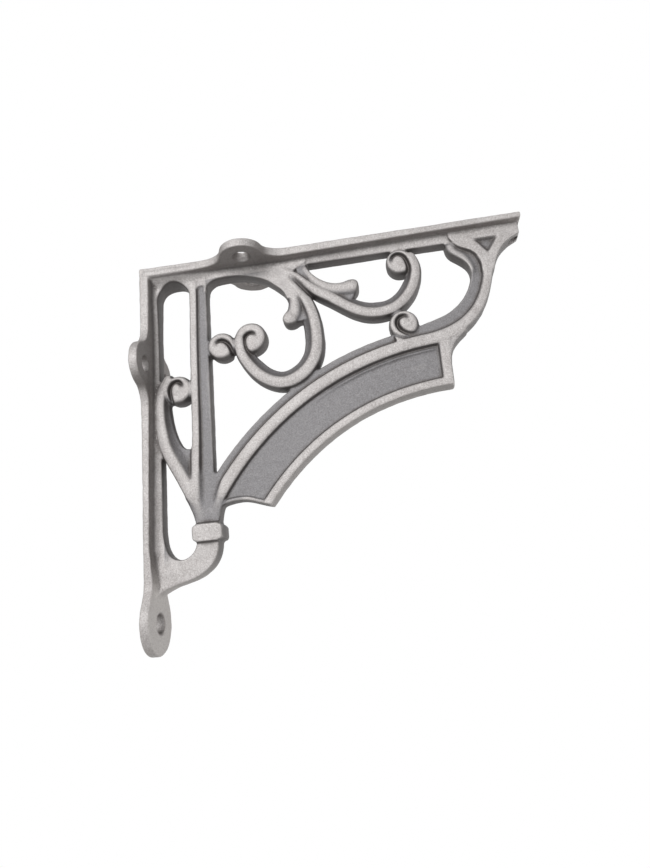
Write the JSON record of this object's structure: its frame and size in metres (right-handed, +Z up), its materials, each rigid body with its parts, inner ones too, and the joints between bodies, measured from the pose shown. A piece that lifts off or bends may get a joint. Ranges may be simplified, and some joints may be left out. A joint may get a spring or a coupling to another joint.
{
  "type": "shelf bracket",
  "caption": "Cast iron scrollwork shelf bracket: two flanges with screw ears, a strut, an arch with a plain curved panel, and open scrolls.",
  "frame": {"origin": "top corner of the bracket: the line where the wall face (x = 0) meets the shelf face (z = 0), at the parting plane (y = 0)", "axes": "+X runs out from the wall under the shelf, +Z is up, Y is across the bracket; the casting is the same on both sides of y = 0"},
  "size_m": [0.155, 0.0376, 0.1537],
  "materials": {
    "cast_iron": "bare sand-cast grey iron, fine granular skin, lighter on the fettled raised faces and darker in the recesses"
  },
  "bodies": {
    "root": {"arch_rib": "cast_iron", "bottom_tab": "cast_iron", "collar": "cast_iron", "corner_block": "cast_iron", "curved_panel": "cast_iron", "foot": "cast_iron", "leg": "cast_iron", "panel_shoulder": "cast_iron", "ring_scroll": "cast_iron", "ring_scroll_leaf": "cast_iron", "ring_scroll_left_volute": "cast_iron", "ring_scroll_right_volute": "cast_iron", "scroll_root": "cast_iron", "shelf_ear_left": "cast_iron", "shelf_ear_right": "cast_iron", "shelf_flange": "cast_iron", "shelf_rail": "cast_iron", "shelf_scroll": "cast_iron", "shelf_scroll_leaf": "cast_iron", "shelf_scroll_volute": "cast_iron", "strut": "cast_iron", "tip_brace": "cast_iron", "tip_brace_volute": "cast_iron", "tip_gusset": "cast_iron", "wall_ear_left": "cast_iron", "wall_ear_right": "cast_iron", "wall_flange": "cast_iron", "wall_rail": "cast_iron", "wall_recess": "cast_iron", "wall_scroll": "cast_iron", "wall_scroll_volute": "cast_iron"}
  },
  "joints": []
}
